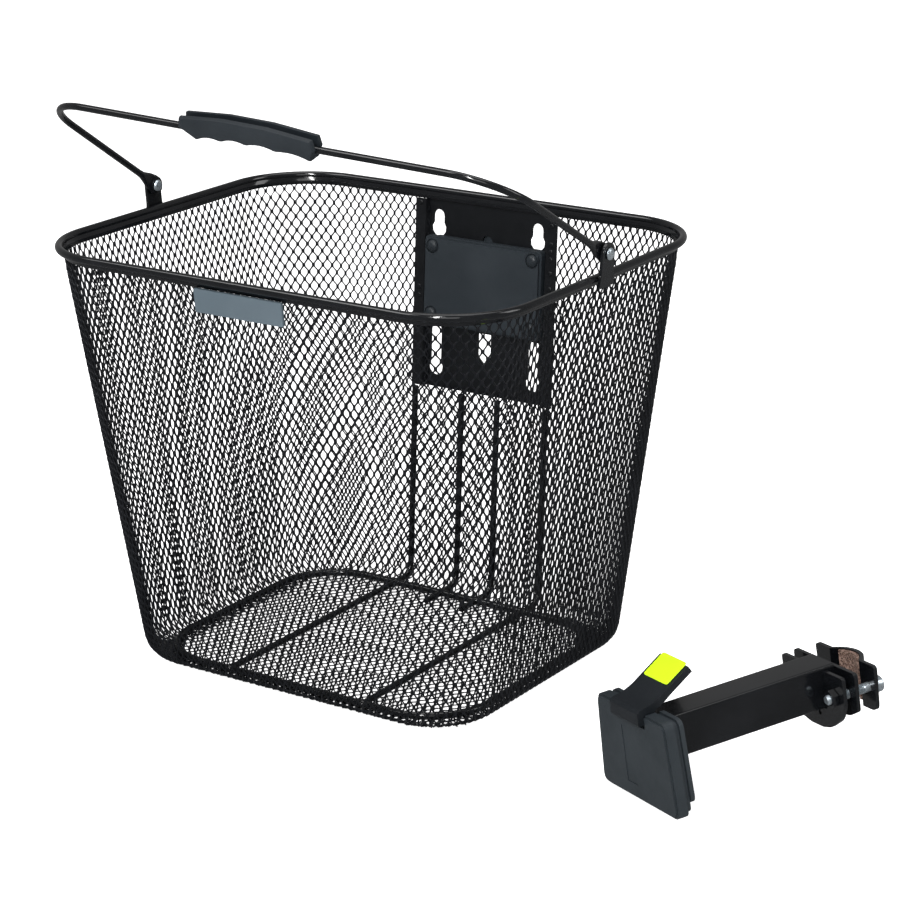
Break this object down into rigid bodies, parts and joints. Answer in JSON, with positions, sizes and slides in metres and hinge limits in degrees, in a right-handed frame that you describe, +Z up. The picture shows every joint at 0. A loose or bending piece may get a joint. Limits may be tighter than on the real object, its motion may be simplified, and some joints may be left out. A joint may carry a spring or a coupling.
{
  "type": "handlebar basket",
  "caption": "Expanded-metal handlebar basket with wire rim, folding carrying bail with grip, and quick-release stem bracket with clamp.",
  "frame": {"origin": "centre of the basket's underside", "axes": "+X across the basket to its right side, +Y back towards the handlebar, +Z up"},
  "size_m": [0.5432, 0.2859, 0.3738],
  "materials": {
    "frame_paint": "glossy black powder coat on steel wire",
    "mesh_paint": "satin blue-black powder coat on expanded steel",
    "plate_paint": "semi-gloss black powder coat on pressed sheet",
    "cover_plastic": "fine-textured dark grey-blue moulding",
    "rivet_plastic": "smooth dark plastic dome",
    "badge_plate": "satin blue-grey plate, blank",
    "zinc": "bright zinc plating",
    "grip_plastic": "dark blue-grey moulded plastic, low sheen",
    "holder_plastic": "dark grey moulded plastic, fine spark texture",
    "lever_plastic": "black moulded plastic, satin",
    "lime_pad": "lime elastomer insert",
    "bracket_paint": "gloss black powder coat",
    "nut_black": "black passivated steel",
    "cork_lining": "speckled brown cork rubber"
  },
  "bodies": {
    "basket": {"rim_wire": "frame_paint", "rim_hem": "frame_paint", "bottom_ring": "frame_paint", "stay_outer_left": "frame_paint", "stay_inner_left": "frame_paint", "floor_wire_left": "frame_paint", "floor_stub_left": "frame_paint", "stay_outer_right": "frame_paint", "stay_inner_right": "frame_paint", "floor_wire_right": "frame_paint", "floor_stub_right": "frame_paint", "ear_right": "frame_paint", "ear_left": "frame_paint", "mesh_floor": "mesh_paint", "mesh_corner_back_right": "mesh_paint", "mesh_corner_back_left": "mesh_paint", "mesh_corner_front_left": "mesh_paint", "mesh_corner_front_right": "mesh_paint", "mesh_left": "mesh_paint", "mesh_front": "mesh_paint", "mesh_right": "mesh_paint", "mesh_back_lower": "mesh_paint", "mesh_back_left": "mesh_paint", "mesh_back_right": "mesh_paint", "mounting_plate": "plate_paint", "cover_plate": "cover_plastic", "receiver": "cover_plastic", "cover_rivet_left_high": "rivet_plastic", "cover_rivet_left_low": "rivet_plastic", "cover_rivet_right_high": "rivet_plastic", "cover_rivet_right_low": "rivet_plastic", "badge": "badge_plate", "pivot_rivet_right": "zinc", "pivot_rivet_left": "zinc"},
    "bail": {"bail_wire": "frame_paint"},
    "grip": {"grip": "grip_plastic"},
    "bracket": {"holder_body": "holder_plastic", "holder_guide_front": "holder_plastic", "holder_guide_back": "holder_plastic", "holder_screw_left": "zinc", "holder_screw_right": "zinc", "lever_pin": "zinc", "lever_spring": "zinc", "arm_tube": "bracket_paint", "clamp_flange": "bracket_paint", "clamp_inner": "bracket_paint", "clamp_nut_left": "nut_black", "clamp_nut_right": "nut_black"},
    "lever": {"lever": "lever_plastic", "lever_pad": "lime_pad"},
    "stem_clamp": {"clamp_outer": "bracket_paint", "clamp_lining": "cork_lining"},
    "bolt_left": {"clamp_bolt_left": "zinc"},
    "bolt_right": {"clamp_bolt_right": "zinc"}
  },
  "joints": [
    {"name": "bail_hinge", "type": "hinge", "parent": "basket", "child": "bail", "pos_m": [0, -0.003, 0.291], "axis": [-1, 0, 0], "range_deg": [-31, 146]},
    {"name": "grip_spin", "type": "hinge", "parent": "bail", "child": "grip", "pos_m": [-0.0045, -0.1136, 0.36146], "axis": [0.9994, -0.0189, -0.0297], "continuous": true},
    {"name": "bracket_lift", "type": "slide", "parent": "basket", "child": "bracket", "axis": [0, 0, 1], "range_m": [0, 0.15]},
    {"name": "lever_press", "type": "hinge", "parent": "bracket", "child": "lever", "pos_m": [0.26646, -0.11767, 0.05863], "axis": [-0.875, 0.4754, -0.0911], "range_deg": [0, 9], "stiffness_Nm_per_rad": 0.6, "springref_deg": -11.46},
    {"name": "bolt_left_turn", "type": "hinge", "parent": "stem_clamp", "child": "bolt_left", "pos_m": [0.31816, 0.02177, 0.04823], "axis": [0.4679, 0.879, 0.092], "range_deg": [-2880, 1080]},
    {"name": "bolt_right_turn", "type": "hinge", "parent": "stem_clamp", "child": "bolt_right", "pos_m": [0.35666, 0.00086, 0.05224], "axis": [0.4679, 0.879, 0.092], "range_deg": [-2880, 1080]},
    {"name": "clamp_slide", "type": "slide", "parent": "bracket", "child": "stem_clamp", "axis": [0.4679, 0.879, 0.092], "range_m": [-0.008, 0.003]}
  ],
  "couplings": [
    {"joint": "bolt_left_turn", "follows": "clamp_slide", "rad_per_m": 6283.2},
    {"joint": "bolt_right_turn", "follows": "clamp_slide", "rad_per_m": 6283.2}
  ]
}
